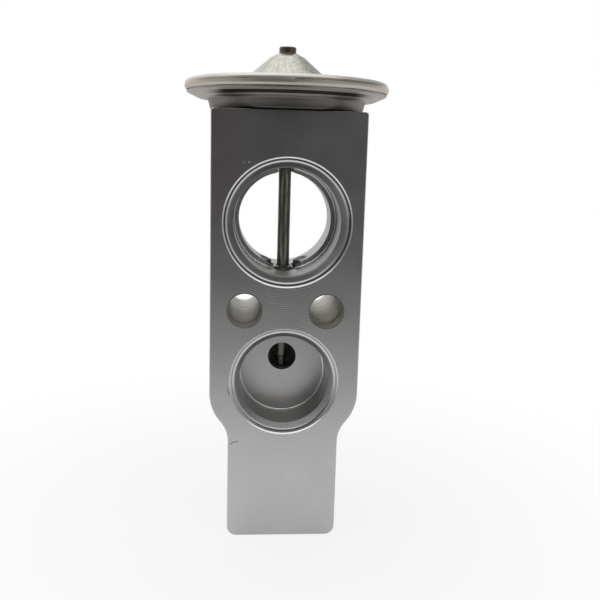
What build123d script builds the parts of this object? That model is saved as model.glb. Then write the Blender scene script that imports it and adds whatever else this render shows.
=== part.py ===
from build123d import *
import math
import os

# Block-type thermostatic expansion valve, in millimetres.
# The origin is the centre of the block's flat lower end, +Z runs up through the rod to the
# head, and -Y faces the evaporator. Heights in the block are given as drops from its top face.

# Block: an extruded aluminium bar, narrowed at its lower end and machined from both faces
BLOCK_WIDTH = 30.0
BLOCK_DEPTH = 28.0
BLOCK_HEIGHT = 86.8
BLOCK_TOP_FILLET = 0.6
TONGUE_WIDTH = 22.4
TONGUE_FILLET = 2.0
SHOULDER_DROP = 55.9
SHOULDER_ANGLE = 40.0
SHOULDER_OUTER_FILLET = 9.3
SHOULDER_INNER_FILLET = 6.3
SHOULDER_FILLET_SHARE = 0.97
FACE_EDGE_BREAK = 0.15

# Pipe ports: a shallow lip, a coned seal seat and a bore, alike on the front and the back
LIP_WIDTH = 0.88
LIP_BEVEL = 0.3
LIP_BEVEL_ANGLE = 30.0
LEDGE_DEPTH = 0.45
SEAT_ANGLE = 50.0
SEAT_EDGE_FILLET = 0.8
PORT_FLOOR_FILLET = 0.35
SUCTION_DROP = 21.5
SUCTION_LIP_R = 12.78
SUCTION_BORE_R = 10.65
SUCTION_BORE_DEPTH = 10.3
SUCTION_WAIST_R = 9.55
LIQUID_DROP = 53.53
LIQUID_LIP_R = 11.08
LIQUID_BORE_R = 9.15
LIQUID_BORE_DEPTH = 9.9

# Bolt holes through the block, with a wider entry on the front
BOLT_DROP = 38.9
BOLT_SPACING = 16.3
BOLT_ENTRY_R = 3.4
BOLT_ENTRY_DEPTH = 4.6
BOLT_HOLE_R = 3.15

# Outlet passage from the front port, and inlet passage from the back port
OUTLET_RISE = 2.83
OUTLET_R = 2.97
OUTLET_END_Y = 1.4
DRILL_POINT_ANGLE = 118.0
INLET_BELOW_SEAT = 3.5
INLET_R = 2.6

# Orifice, its seat and the chamber below it
ORIFICE_R = 1.6
ORIFICE_LENGTH = 1.6
SEAT_CONE_DEPTH = 0.8
CHAMBER_R = 3.3
CHAMBER_WEB = 1.2

# Bore for the spring and the adjusting screw
SPRING_BORE_R = 5.5
SPRING_BORE_CHAMFER = 0.6

# Actuating rod and its seal in the wall between the passages
ROD_R = 1.3
ROD_CLEARANCE = 0.05
ROD_SHOULDER_BELOW_OUTLET = 0.6
PIN_R = 0.95
ROD_END_CHAMFER = 0.2
ROD_HOLE_R = 4.0
STEM_EDGE_CHAMFER = 0.7
RETAINER_POCKET_R = 4.4
RETAINER_POCKET_DEPTH = 0.9
RETAINER_THICKNESS = 0.4
RETAINER_TEETH = 10
RETAINER_RIM_WIDTH = 1.0
RETAINER_TOOTH_WIDTH = 1.5
RETAINER_CLEARANCE = 0.03
RETAINER_HOLE_GAP = 0.35
ROD_SEAL_SECTION_R = 0.95
ROD_SEAL_POCKET_DEPTH = 2.5
BACKUP_RING_THICKNESS = 0.5
SEAL_CLEARANCE = 0.02

# Ball, its carrier and the damper ring that steadies them
BALL_R = 2.3
STROKE = 0.8
CLOSED_GAP = 0.05
CARRIER_R = 2.9
CARRIER_RISE = 2.25
CARRIER_WEB = 0.75
CARRIER_SPIGOT_R = 1.9
CARRIER_SPIGOT_LENGTH = 3.0
DAMPER_THICKNESS = 0.25
DAMPER_LEGS = 3
DAMPER_LEG_WIDTH = 1.6
DAMPER_LEG_HEIGHT = 3.2
DAMPER_CLEARANCE = 0.08

# Spring
SPRING_WIRE_R = 0.45
SPRING_MEAN_R = 2.65
SPRING_TURNS = 6.0

# Adjusting screw
SCREW_RECESS = 2.0
SCREW_THREAD_LENGTH = 5.9
SCREW_CLEARANCE = 0.05
SCREW_GROOVE_WIDTH = 1.8
SCREW_TOP_LAND = 0.9
SCREW_TOP_LAND_CLEARANCE = 0.2
SCREW_SEAL_SECTION_R = 0.77
SCREW_STUB_R = 1.9
SCREW_STUB_LENGTH = 2.4
SCREW_EDGE_CHAMFER = 0.4
SOCKET_ACROSS_FLATS = 6.0
SOCKET_DEPTH = 4.0

# Head: a threaded collar, a dished lower housing, a diaphragm and a coned cover
COLLAR_R = 9.4
COLLAR_CLEARANCE = 0.1
COLLAR_DROP = 7.0
COLLAR_BORE_R = 7.0
COLLAR_FLANGE_R = 11.5
COLLAR_FLANGE_THICKNESS = 0.6
COLLAR_RELIEF = 1.0
HEAD_GAP = 0.2
HEAD_SHEET = 1.2
HEAD_SEAL_SECTION_R = 0.7
RIM_R = 20.8
RIM_OVERHANG = 0.4
FLANGE_BEND_WIDTH = 2.5
FLANGE_BEND_R = 2.0
FLANGE_LIP = 0.25
FLANGE_UNDERSIDE = 2.4
FLANGE_THICKNESS = 1.4
NECK_LEDGE = 1.7
NECK_FLARE = 0.6
NECK_FOOT_FILLET = 0.35
NECK_TOP_FILLET = 0.5
NECK_WALL = 1.35
DIAPHRAGM_THICKNESS = 0.15
DIAPHRAGM_WAVE = 0.3
DIAPHRAGM_INSET = 0.25
RIM_HEIGHT = 2.1
RIM_LOWER_FILLET = 0.6
RIM_UPPER_FILLET = 1.15
DOME_RISE = 0.9
CONE_BASE_R = 8.2
CONE_SHOULDER_R = 3.55
CONE_SHOULDER_RISE = 3.95
CONE_TOP_R = 1.9
CONE_TOP_RISE = 0.87
CONE_FOOT_FILLET = 3.0
CONE_SHOULDER_FILLET = 1.2
CHARGE_HOLE_R = 0.9
PLUG_R = 1.75
PLUG_HEIGHT = 1.25
PLUG_FILLET = 0.3
PLUG_PIN_CLEARANCE = 0.04

# Stopper under the diaphragm
STOPPER_R = 8.2
STOPPER_THICKNESS = 1.0
STOPPER_LIFT = 0.15
STOPPER_HUB_R = 3.2
STOPPER_HUB_DROP = 4.5
STOPPER_EDGE_FILLET = 0.3
ROD_SOCKET_DEPTH = 3.5
DIAPHRAGM_CLEARANCE = 0.02

# Heights that follow from the sizes above
SUCTION_Z = BLOCK_HEIGHT - SUCTION_DROP
LIQUID_Z = BLOCK_HEIGHT - LIQUID_DROP
BOLT_Z = BLOCK_HEIGHT - BOLT_DROP
OUTLET_Z = LIQUID_Z + OUTLET_RISE
ORIFICE_TOP_Z = OUTLET_Z - OUTLET_R
SEAT_Z = ORIFICE_TOP_Z - ORIFICE_LENGTH
CHAMBER_TOP_Z = SEAT_Z - SEAT_CONE_DEPTH
CHAMBER_FLOOR_Z = LIQUID_Z - LIQUID_BORE_R - CHAMBER_WEB
INLET_Z = SEAT_Z - INLET_BELOW_SEAT
SUCTION_FLOOR_Z = SUCTION_Z - SUCTION_BORE_R
WAIST_CROWN_Z = SUCTION_Z + SUCTION_WAIST_R
WAIST_FLOOR_Z = SUCTION_Z - SUCTION_WAIST_R
RETAINER_LEDGE_Z = SUCTION_FLOOR_Z - RETAINER_POCKET_DEPTH
ROD_SEAL_R = ROD_R + ROD_CLEARANCE + ROD_SEAL_SECTION_R
ROD_SEAL_POCKET_R = ROD_SEAL_R + ROD_SEAL_SECTION_R + SEAL_CLEARANCE
ROD_SEAL_FLOOR_Z = RETAINER_LEDGE_Z - ROD_SEAL_POCKET_DEPTH
ROD_SHOULDER_Z = OUTLET_Z - ROD_SHOULDER_BELOW_OUTLET
BALL_Z = SEAT_Z - math.sqrt(BALL_R**2 - ORIFICE_R**2) - STROKE - CLOSED_GAP
CUP_APEX_Z = BALL_Z - BALL_R * math.sqrt(2)
CARRIER_SEAT_Z = CUP_APEX_Z - CARRIER_WEB
CARRIER_TOP_Z = CUP_APEX_Z + CARRIER_RISE
SCREW_SHOULDER_Z = SCREW_RECESS + SCREW_THREAD_LENGTH
SCREW_LAND_Z = SCREW_SHOULDER_Z + SCREW_GROOVE_WIDTH
SCREW_TOP_Z = SCREW_LAND_Z + SCREW_TOP_LAND
SCREW_GROOVE_R = SPRING_BORE_R - SCREW_CLEARANCE - 2 * SCREW_SEAL_SECTION_R
SPRING_TOP_Z = CARRIER_SEAT_Z - DAMPER_THICKNESS
COLLAR_HOLE_R = COLLAR_R + COLLAR_CLEARANCE
COLLAR_HOLE_DEPTH = COLLAR_DROP + COLLAR_RELIEF
HOUSING_FLOOR_Z = BLOCK_HEIGHT + HEAD_GAP + HEAD_SHEET
COLLAR_TOP_Z = HOUSING_FLOOR_Z + COLLAR_FLANGE_THICKNESS
FLANGE_UNDERSIDE_Z = BLOCK_HEIGHT + FLANGE_UNDERSIDE
FLANGE_EDGE_R = RIM_R - RIM_OVERHANG
FLANGE_FLAT_R = FLANGE_EDGE_R - FLANGE_BEND_WIDTH
NECK_TOP_R = FLANGE_FLAT_R - NECK_LEDGE
NECK_FOOT_R = NECK_TOP_R - NECK_FLARE
FLANGE_TOP_Z = FLANGE_UNDERSIDE_Z + FLANGE_THICKNESS
COVER_Z = FLANGE_TOP_Z + DIAPHRAGM_THICKNESS
STOPPER_Z = COLLAR_TOP_Z + STOPPER_LIFT
STOPPER_TOP_Z = STOPPER_Z + STOPPER_THICKNESS
STOPPER_HUB_Z = BLOCK_HEIGHT - STOPPER_HUB_DROP
ROD_TOP_Z = STOPPER_HUB_Z + ROD_SOCKET_DEPTH
DOME_EDGE_Z = COVER_Z + RIM_HEIGHT
CONE_BASE_Z = DOME_EDGE_Z + DOME_RISE
CONE_SHOULDER_Z = CONE_BASE_Z + CONE_SHOULDER_RISE
CONE_TOP_Z = CONE_SHOULDER_Z + CONE_TOP_RISE
OVERCUT = 1.0


def profile(corners):
    """Closed face in the XY plane from corners (x, y) or (x, y, fillet radius)."""
    points = [corner[:2] for corner in corners]
    radii = [corner[2] if len(corner) > 2 else 0 for corner in corners]
    return make_face(FilletPolyline(points, radius=radii, close=True).edges())


def turned(corners):
    """Solid of revolution about Z from corners (radius, height) or (radius, height, fillet)."""
    return revolve(Plane.XZ * profile(corners), Axis.Z)


def rod(radius, low, high):
    """Upright cylinder from height low to height high."""
    return Pos(0, 0, low) * Cylinder(radius, high - low, align=(Align.CENTER, Align.CENTER, Align.MIN))


def tube(outer, inner, low, high):
    """Upright ring from height low to height high."""
    return rod(outer, low, high) - rod(inner, low, high)


def o_ring(centre_radius, section_radius, height):
    """O-ring about Z with its section's centre at the given height."""
    return Pos(0, 0, height) * Torus(centre_radius, section_radius)


def drilled(radius, low, high):
    """Hole cutter that opens upwards, with its full radius from low and a drill point below."""
    point = radius / math.tan(math.radians(DRILL_POINT_ANGLE / 2))
    return turned([(0, low - point), (radius, low), (radius, high), (0, high)])


def block_outline():
    """Front view of the bar: square top, S-shaped shoulders and a narrower tongue."""
    half = BLOCK_WIDTH / 2
    tongue = TONGUE_WIDTH / 2
    step = half - tongue
    angle = math.radians(SHOULDER_ANGLE)
    slant = step / math.sin(angle)
    tangents = (SHOULDER_OUTER_FILLET + SHOULDER_INNER_FILLET) * math.tan(angle / 2)
    share = min(1.0, SHOULDER_FILLET_SHARE * slant / tangents)
    outer_fillet = SHOULDER_OUTER_FILLET * share
    inner_fillet = SHOULDER_INNER_FILLET * share
    high = BLOCK_HEIGHT - SHOULDER_DROP - outer_fillet * math.tan(angle / 2)
    low = high - step / math.tan(angle)
    right = [
        (tongue, 0, TONGUE_FILLET),
        (tongue, low, inner_fillet),
        (half, high, outer_fillet),
        (half, BLOCK_HEIGHT, BLOCK_TOP_FILLET),
    ]
    left = [(-x, z, radius) for x, z, radius in reversed(right)]
    return profile(right + left)


def port_cutter(lip_r, bore_r, depth):
    """Port cutter with its face at height 0 and its bore running down."""
    wall_r = lip_r - LIP_BEVEL
    mouth_r = lip_r - LIP_WIDTH
    bevel_slope = math.tan(math.radians(LIP_BEVEL_ANGLE))
    seat_slope = math.tan(math.radians(SEAT_ANGLE))
    return turned([
        (0, OVERCUT * bevel_slope),
        (lip_r + OVERCUT, OVERCUT * bevel_slope),
        (wall_r, -LIP_BEVEL * bevel_slope),
        (wall_r, -LEDGE_DEPTH),
        (mouth_r, -LEDGE_DEPTH, SEAT_EDGE_FILLET),
        (bore_r, -LEDGE_DEPTH - (mouth_r - bore_r) * seat_slope),
        (bore_r, -depth, PORT_FLOOR_FILLET),
        (0, -depth),
    ])


def face_places(height):
    """Places on the front and the back face, with local +Z pointing out of the block."""
    front = Pos(0, -BLOCK_DEPTH / 2, height) * Rot(90, 0, 0)
    back = Pos(0, BLOCK_DEPTH / 2, height) * Rot(-90, 0, 0)
    return front, back


def valve_body():
    block = extrude(Plane.XZ * block_outline(), BLOCK_DEPTH / 2, both=True)
    end_faces = block.faces().filter_by(Axis.Y)
    block = chamfer(end_faces.edges(), FACE_EDGE_BREAK)
    half_depth = BLOCK_DEPTH / 2

    for place in face_places(SUCTION_Z):
        block -= place * port_cutter(SUCTION_LIP_R, SUCTION_BORE_R, SUCTION_BORE_DEPTH)
    for place in face_places(LIQUID_Z):
        block -= place * port_cutter(LIQUID_LIP_R, LIQUID_BORE_R, LIQUID_BORE_DEPTH)
    block -= Pos(0, 0, SUCTION_Z) * Rot(90, 0, 0) * Cylinder(SUCTION_WAIST_R, BLOCK_DEPTH)

    for side in (-1, 1):
        front = face_places(BOLT_Z)[0] * Pos(side * BOLT_SPACING / 2, 0, 0)
        block -= front * rod(BOLT_HOLE_R, -BLOCK_DEPTH - OVERCUT, OVERCUT)
        block -= front * rod(BOLT_ENTRY_R, -BOLT_ENTRY_DEPTH, OVERCUT)

    outlet_floor = half_depth - LIQUID_BORE_DEPTH
    front, _ = face_places(OUTLET_Z)
    block -= front * drilled(OUTLET_R, -half_depth - OUTLET_END_Y, -LIQUID_BORE_DEPTH + OVERCUT)
    _, back = face_places(INLET_Z)
    block -= back * rod(INLET_R, -half_depth, -half_depth + outlet_floor + OVERCUT)

    stem_bores = turned([
        (0, -OVERCUT),
        (SPRING_BORE_R + SPRING_BORE_CHAMFER + OVERCUT, -OVERCUT),
        (SPRING_BORE_R, SPRING_BORE_CHAMFER),
        (SPRING_BORE_R, CHAMBER_FLOOR_Z),
        (CHAMBER_R, CHAMBER_FLOOR_Z),
        (CHAMBER_R, CHAMBER_TOP_Z),
        (ORIFICE_R + SEAT_CONE_DEPTH, CHAMBER_TOP_Z),
        (ORIFICE_R, SEAT_Z),
        (ORIFICE_R, OUTLET_Z),
        (ROD_R + ROD_CLEARANCE, OUTLET_Z),
        (ROD_R + ROD_CLEARANCE, ROD_SEAL_FLOOR_Z),
        (ROD_SEAL_POCKET_R, ROD_SEAL_FLOOR_Z),
        (ROD_SEAL_POCKET_R, RETAINER_LEDGE_Z),
        (RETAINER_POCKET_R, RETAINER_LEDGE_Z),
        (RETAINER_POCKET_R, WAIST_FLOOR_Z),
        (RETAINER_POCKET_R + STEM_EDGE_CHAMFER, WAIST_FLOOR_Z + STEM_EDGE_CHAMFER),
        (RETAINER_POCKET_R + STEM_EDGE_CHAMFER, SUCTION_Z),
        (ROD_HOLE_R + STEM_EDGE_CHAMFER, SUCTION_Z),
        (ROD_HOLE_R + STEM_EDGE_CHAMFER, WAIST_CROWN_Z - STEM_EDGE_CHAMFER),
        (ROD_HOLE_R, WAIST_CROWN_Z),
        (ROD_HOLE_R, BLOCK_HEIGHT - COLLAR_HOLE_DEPTH),
        (COLLAR_HOLE_R, BLOCK_HEIGHT - COLLAR_HOLE_DEPTH),
        (COLLAR_HOLE_R, BLOCK_HEIGHT - 2 * HEAD_SEAL_SECTION_R + HEAD_GAP),
        (COLLAR_HOLE_R + 2 * HEAD_SEAL_SECTION_R, BLOCK_HEIGHT - 2 * HEAD_SEAL_SECTION_R + HEAD_GAP),
        (COLLAR_HOLE_R + 2 * HEAD_SEAL_SECTION_R, BLOCK_HEIGHT + OVERCUT),
        (0, BLOCK_HEIGHT + OVERCUT),
    ])
    return block - stem_bores


def actuating_rod():
    return turned([
        (0, BALL_Z + BALL_R),
        (PIN_R, BALL_Z + BALL_R),
        (PIN_R, ROD_SHOULDER_Z - (ROD_R - PIN_R)),
        (ROD_R, ROD_SHOULDER_Z),
        (ROD_R, ROD_TOP_Z - ROD_END_CHAMFER),
        (ROD_R - ROD_END_CHAMFER, ROD_TOP_Z),
        (0, ROD_TOP_Z),
    ])


def rod_seal():
    height = RETAINER_LEDGE_Z - ROD_SEAL_SECTION_R
    return o_ring(ROD_SEAL_R, ROD_SEAL_SECTION_R, height)


def backup_ring():
    outer = ROD_SEAL_POCKET_R - SEAL_CLEARANCE
    inner = ROD_R + ROD_CLEARANCE
    return tube(outer, inner, ROD_SEAL_FLOOR_Z, ROD_SEAL_FLOOR_Z + BACKUP_RING_THICKNESS)


def seal_retainer():
    """Toothed push-in washer: the teeth grip the wall of its pocket."""
    outer = RETAINER_POCKET_R - RETAINER_CLEARANCE
    root = outer - RETAINER_RIM_WIDTH
    low = RETAINER_LEDGE_Z
    high = low + RETAINER_THICKNESS
    tooth = Box(outer, RETAINER_TOOTH_WIDTH, RETAINER_THICKNESS, align=(Align.MIN, Align.CENTER, Align.MIN))
    teeth = [Rot(0, 0, 360 * i / RETAINER_TEETH) * Pos(0, 0, low) * tooth for i in range(RETAINER_TEETH)]
    star = rod(root, low, high) + teeth
    return (star & rod(outer, low, high)) - rod(ROD_R + RETAINER_HOLE_GAP, low, high)


def valve_ball():
    return Pos(0, 0, BALL_Z) * Sphere(BALL_R)


def ball_carrier():
    """Cup with a 90 degree cone for the ball and a spigot inside the spring."""
    return turned([
        (0, CUP_APEX_Z),
        (CARRIER_RISE, CARRIER_TOP_Z),
        (CARRIER_R, CARRIER_TOP_Z),
        (CARRIER_R, CARRIER_SEAT_Z),
        (CARRIER_SPIGOT_R, CARRIER_SEAT_Z),
        (CARRIER_SPIGOT_R, CARRIER_SEAT_Z - CARRIER_SPIGOT_LENGTH),
        (0, CARRIER_SEAT_Z - CARRIER_SPIGOT_LENGTH),
    ])


def damper_ring():
    """Thin spring ring under the carrier, with legs that rub on the chamber wall."""
    outer = CHAMBER_R - DAMPER_CLEARANCE
    inner = outer - DAMPER_THICKNESS
    low = SPRING_TOP_Z
    base_top = low + DAMPER_THICKNESS
    ring = rod(CARRIER_R, low, base_top)
    cup = tube(outer, inner, low, low + DAMPER_LEG_HEIGHT) + rod(outer, low, base_top)
    leg = Box(outer, DAMPER_LEG_WIDTH, DAMPER_LEG_HEIGHT, align=(Align.MIN, Align.CENTER, Align.MIN))
    legs = [Rot(0, 0, 360 * i / DAMPER_LEGS - 90) * Pos(0, 0, low) * leg for i in range(DAMPER_LEGS)]
    for leg in legs:
        ring += cup & leg
    return ring - rod(CARRIER_SPIGOT_R + SEAL_CLEARANCE, low, base_top)


def superheat_spring():
    """Coil spring with both ends ground flat."""
    length = SPRING_TOP_Z - SCREW_TOP_Z
    path = Helix(length / SPRING_TURNS, length, SPRING_MEAN_R)
    section = Plane(path @ 0, z_dir=path % 0) * Circle(SPRING_WIRE_R)
    coil = Pos(0, 0, SCREW_TOP_Z) * sweep(section, path, is_frenet=True)
    return coil & rod(SPRING_BORE_R, SCREW_TOP_Z, SPRING_TOP_Z)


def adjusting_screw():
    thread_r = SPRING_BORE_R - SCREW_CLEARANCE
    land_r = SPRING_BORE_R - SCREW_TOP_LAND_CLEARANCE
    screw = turned([
        (0, SCREW_RECESS),
        (thread_r - SCREW_EDGE_CHAMFER, SCREW_RECESS),
        (thread_r, SCREW_RECESS + SCREW_EDGE_CHAMFER),
        (thread_r, SCREW_SHOULDER_Z),
        (SCREW_GROOVE_R, SCREW_SHOULDER_Z),
        (SCREW_GROOVE_R, SCREW_LAND_Z),
        (land_r, SCREW_LAND_Z),
        (land_r, SCREW_TOP_Z),
        (SCREW_STUB_R, SCREW_TOP_Z),
        (SCREW_STUB_R, SCREW_TOP_Z + SCREW_STUB_LENGTH),
        (0, SCREW_TOP_Z + SCREW_STUB_LENGTH),
    ])
    hexagon = RegularPolygon(SOCKET_ACROSS_FLATS / 2, 6, major_radius=False)
    socket = Pos(0, 0, SCREW_RECESS) * extrude(hexagon, SOCKET_DEPTH)
    return screw - socket


def adjusting_screw_seal():
    height = (SCREW_SHOULDER_Z + SCREW_LAND_Z) / 2
    return o_ring(SCREW_GROOVE_R + SCREW_SEAL_SECTION_R, SCREW_SEAL_SECTION_R, height)


def threaded_collar():
    return turned([
        (COLLAR_BORE_R, BLOCK_HEIGHT - COLLAR_DROP),
        (COLLAR_R - SCREW_EDGE_CHAMFER, BLOCK_HEIGHT - COLLAR_DROP),
        (COLLAR_R, BLOCK_HEIGHT - COLLAR_DROP + SCREW_EDGE_CHAMFER),
        (COLLAR_R, HOUSING_FLOOR_Z),
        (COLLAR_FLANGE_R, HOUSING_FLOOR_Z),
        (COLLAR_FLANGE_R, COLLAR_TOP_Z),
        (COLLAR_BORE_R, COLLAR_TOP_Z),
    ])


def head_seal():
    height = BLOCK_HEIGHT + HEAD_GAP - HEAD_SEAL_SECTION_R
    return o_ring(COLLAR_HOLE_R + HEAD_SEAL_SECTION_R, HEAD_SEAL_SECTION_R, height)


def head_lower_housing():
    """Pressed dish: floor on the seal, a slightly flared neck and the lower half of the rim."""
    underside = BLOCK_HEIGHT + HEAD_GAP
    return turned([
        (COLLAR_R, underside),
        (NECK_FOOT_R, underside, NECK_FOOT_FILLET),
        (NECK_TOP_R, FLANGE_UNDERSIDE_Z, NECK_TOP_FILLET),
        (FLANGE_FLAT_R, FLANGE_UNDERSIDE_Z, FLANGE_BEND_R),
        (FLANGE_EDGE_R, FLANGE_TOP_Z - FLANGE_LIP),
        (FLANGE_EDGE_R, FLANGE_TOP_Z),
        (NECK_TOP_R - NECK_WALL, FLANGE_TOP_Z),
        (NECK_FOOT_R - NECK_WALL, HOUSING_FLOOR_Z),
        (COLLAR_R, HOUSING_FLOOR_Z),
    ])


def diaphragm():
    """Thin steel disc, pressed down on the stopper, with two ring waves outside it."""
    rest = STOPPER_TOP_Z + DIAPHRAGM_CLEARANCE
    clamped = FLANGE_TOP_Z
    wave_start = STOPPER_R + DIAPHRAGM_WAVE
    wave_end = NECK_FOOT_R - NECK_WALL
    step = (wave_end - wave_start) / 3
    lower = [
        (0, rest),
        (wave_start, rest),
        (wave_start + step, clamped),
        (wave_start + 2 * step, clamped - DIAPHRAGM_WAVE),
        (wave_end, clamped),
        (FLANGE_EDGE_R - DIAPHRAGM_INSET, clamped),
    ]
    upper = [(r, z + DIAPHRAGM_THICKNESS) for r, z in reversed(lower)]
    return turned(lower + upper)


def diaphragm_stopper():
    """Disc under the diaphragm with a hub that holds the rod's upper end."""
    socket_r = ROD_R + SEAL_CLEARANCE
    return turned([
        (socket_r, STOPPER_HUB_Z),
        (STOPPER_HUB_R, STOPPER_HUB_Z),
        (STOPPER_HUB_R, STOPPER_Z),
        (STOPPER_R, STOPPER_Z),
        (STOPPER_R, STOPPER_TOP_Z, STOPPER_EDGE_FILLET),
        (0, STOPPER_TOP_Z),
        (0, ROD_TOP_Z),
        (socket_r, ROD_TOP_Z),
    ])


def head_cover():
    """Pressed cover: rounded rim, shallow dome and a cone that ends at the charging hole."""
    inner_wall = NECK_TOP_R - NECK_WALL
    return turned([
        (inner_wall, COVER_Z),
        (FLANGE_EDGE_R, COVER_Z),
        (RIM_R, COVER_Z + RIM_OVERHANG, RIM_LOWER_FILLET),
        (RIM_R, DOME_EDGE_Z, RIM_UPPER_FILLET),
        (CONE_BASE_R, CONE_BASE_Z, CONE_FOOT_FILLET),
        (CONE_SHOULDER_R, CONE_SHOULDER_Z, CONE_SHOULDER_FILLET),
        (CONE_TOP_R, CONE_TOP_Z),
        (CHARGE_HOLE_R, CONE_TOP_Z),
        (CHARGE_HOLE_R, CONE_TOP_Z - HEAD_SHEET),
        (CONE_SHOULDER_R - HEAD_SHEET, CONE_SHOULDER_Z - HEAD_SHEET),
        (CONE_BASE_R - HEAD_SHEET / 2, CONE_BASE_Z - HEAD_SHEET),
        (inner_wall - HEAD_SHEET, DOME_EDGE_Z - HEAD_SHEET),
    ])


def charge_plug():
    pin_r = CHARGE_HOLE_R - PLUG_PIN_CLEARANCE
    return turned([
        (0, CONE_TOP_Z - HEAD_SHEET),
        (pin_r, CONE_TOP_Z - HEAD_SHEET),
        (pin_r, CONE_TOP_Z),
        (PLUG_R, CONE_TOP_Z),
        (PLUG_R, CONE_TOP_Z + PLUG_HEIGHT, PLUG_FILLET),
        (0, CONE_TOP_Z + PLUG_HEIGHT),
    ])


PIECES = [
    valve_body,
    actuating_rod,
    rod_seal,
    backup_ring,
    seal_retainer,
    valve_ball,
    ball_carrier,
    damper_ring,
    superheat_spring,
    adjusting_screw,
    adjusting_screw_seal,
    threaded_collar,
    head_seal,
    head_lower_housing,
    diaphragm,
    diaphragm_stopper,
    head_cover,
    charge_plug,
]

os.makedirs("parts", exist_ok=True)
for piece in PIECES:
    export_step(piece(), os.path.join("parts", piece.__name__ + ".step"))
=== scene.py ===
import math

import bmesh
import bpy
from mathutils import Matrix, Vector


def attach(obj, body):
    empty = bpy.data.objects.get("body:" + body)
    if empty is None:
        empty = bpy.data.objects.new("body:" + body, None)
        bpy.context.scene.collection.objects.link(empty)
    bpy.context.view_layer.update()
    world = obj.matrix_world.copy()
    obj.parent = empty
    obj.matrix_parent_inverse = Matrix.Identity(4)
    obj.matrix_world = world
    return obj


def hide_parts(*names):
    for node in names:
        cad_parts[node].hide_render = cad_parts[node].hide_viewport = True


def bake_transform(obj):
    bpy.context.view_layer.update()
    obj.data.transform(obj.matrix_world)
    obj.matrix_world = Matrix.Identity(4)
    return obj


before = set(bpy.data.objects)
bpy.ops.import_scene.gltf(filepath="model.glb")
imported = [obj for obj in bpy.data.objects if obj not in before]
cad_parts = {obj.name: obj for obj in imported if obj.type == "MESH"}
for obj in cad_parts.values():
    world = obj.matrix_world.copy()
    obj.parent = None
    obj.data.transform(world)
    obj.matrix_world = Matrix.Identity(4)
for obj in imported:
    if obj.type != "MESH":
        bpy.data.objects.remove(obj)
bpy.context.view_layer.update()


def grey(level):
    return (level, level, level, 1.0)


def colour(red, green, blue):
    return (red, green, blue, 1.0)


# Lengths are in millimetres. A pair is what a mask or a noise gives at 0 and at 1, or, where it is
# a place, where the mask is 0 and where it is 1. Four numbers give a line's rise and its fall.
MM = 0.001
FULL_TURN = 2 * math.pi
FULLY = 1.0

# Camera, measured from the photograph's port circles and outline, with its angles in degrees
CAMERA_PLACE = (-9.213, -163.314, 79.027)
CAMERA_YAW = -4.589
CAMERA_PITCH = -10.885
CAMERA_ROLL = -1.597
CAMERA_CLIP_START_M = 0.001
FOCAL_PIXELS = 770.43
IMAGE_PIXELS = 600
SENSOR = 36.0

# Light tent: white above and behind, dimmer at the sides, open and dark in front. Its places are
# parts of a direction of length 1.
TENT_TOP = 0.95
TENT_BACK = 0.9
TENT_SIDE = 0.34
TENT_BEHIND_Y = (0.1, 0.8)
TENT_ABOVE_Z = (0.1, 0.85)
SCREEN_LEAN = 0.5
SCREEN_ACROSS = (0.52, 0.66)
SCREEN_Z = (0.12, 0.3)
SCREEN_TAKES = 0.45
OPENING_LEVEL = 0.03
OPENING_SHIFT = 0.18
OPENING_X = (0.75, 0.40)
OPENING_Y = (0.05, -0.3)
OPENING_Z = (0.58, 0.34)

# Overhead lamp, with its power in watts
LAMP_PLACE = (-50, 60, 330)
LAMP_TARGET = (0, 0, 50)
LAMP_SIZE = 220
LAMP_POWER = 0.04

# Floor, which ends in front so that the block's face reflects the dark opening
FLOOR_HALF = 1500
FLOOR_FRONT = 230.0
FLOOR_LEVEL = -0.05
FLOOR_NEAR_R = (120.0, 25.0)
FLOOR_DIM_Y = (-45.0, -210.0)
FLOOR_WHITE = grey(0.9)
FLOOR_DIM = grey(0.25)
FLOOR_ROUGHNESS = 0.9
FLOOR_SHADOW = 0.2
FLOOR_MIRRORED = 0.2

# Block: axes and radii of its ports and bolt holes
SUCTION_Z = 65.3
SUCTION_LIP_R = 12.78
SUCTION_BORE_R = 10.65
LIQUID_Z = 33.27
LIQUID_LIP_R = 11.08
LIQUID_BORE_R = 9.15
BOLT_X = 8.15
BOLT_Z = 47.9
BOLT_R = 3.4

# Block: places with a finish of their own. Depths run inwards from the edge of a port's lip.
FACE_NORMAL = (0.9, 0.98)
FRONT_Y = (0.0, -1.0)
UPPER_PORT_Z = (46.0, 46.5)
LIP_LOWEST_Z = (LIQUID_Z - 5.0, LIQUID_Z - 9.5)
PORT_DEPTH = (-0.08, 0.0)
BEVEL_DEPTH = (0.02, 0.34)
LIP_DEPTH = (1.1, 0.98)
CONE_DEPTH = (0.9, 1.04)
WALL_DEPTH = (1.82, 1.9)
FLOOR_DEPTH = (1.8, 2.0)
FLOOR_EDGE_INSET = 0.2
FLOOR_EDGE_BESIDE = (0.2, 0.12)
PORT_SIDE_X = (4.0, 11.0)
SEAT_SIDE_DEPTH = (2.45, 2.3)
LOW_WALL_Z = (LIQUID_Z - 2.0, LIQUID_Z - 8.0)
CLOUDED_FLOOR_X = 1.0
CLOUDED_FLOOR_LEAN = 0.4
CLOUDED_FLOOR_Z = (LIQUID_Z, LIQUID_Z - 7.0)
POCKET_R = (5.2, 5.0)
POCKET_TOP_Z = (56.7, 56.6)
POCKET_FLOOR_Z = (50.0, 51.0)
BOLT_WALL_R = (BOLT_R + 0.04, BOLT_R)
BOLT_EDGE_R = (BOLT_R + 0.22, BOLT_R + 0.08)
# Painted shading: a warm patch on the upper left of the front face
SHADING_PATCH_X = (-7.0, -14.0)
SHADING_PATCH_Z = (58.0, 72.0)
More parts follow.
